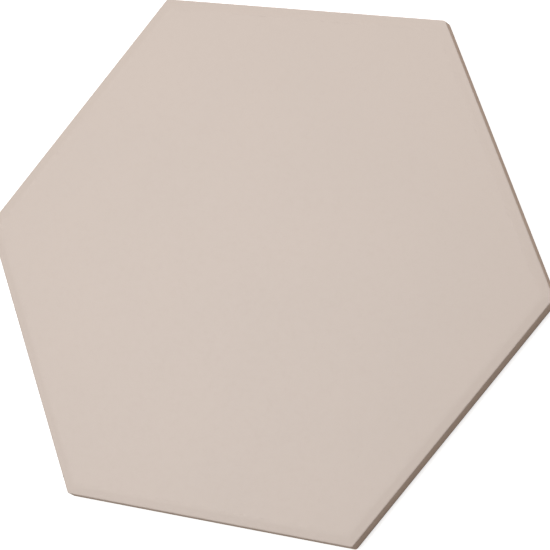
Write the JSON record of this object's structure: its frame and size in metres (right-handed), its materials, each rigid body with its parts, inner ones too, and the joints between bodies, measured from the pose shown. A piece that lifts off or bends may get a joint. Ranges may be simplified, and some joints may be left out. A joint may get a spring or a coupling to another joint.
{
  "type": "hexagonal tile",
  "caption": "Plain hexagonal wall and floor tile in satin beige glazed porcelain, with a shallow bevelled border and a keyed back.",
  "frame": {"origin": "centre of the back, on the plane that the keyed back rests on", "axes": "+Z out of the glazed face, +X towards a corner, +Y towards a flat side"},
  "size_m": [0.3284, 0.285, 0.0085],
  "materials": {
    "glazed_porcelain": "satin"
  },
  "bodies": {
    "root": {"tile": "glazed_porcelain"}
  },
  "joints": []
}
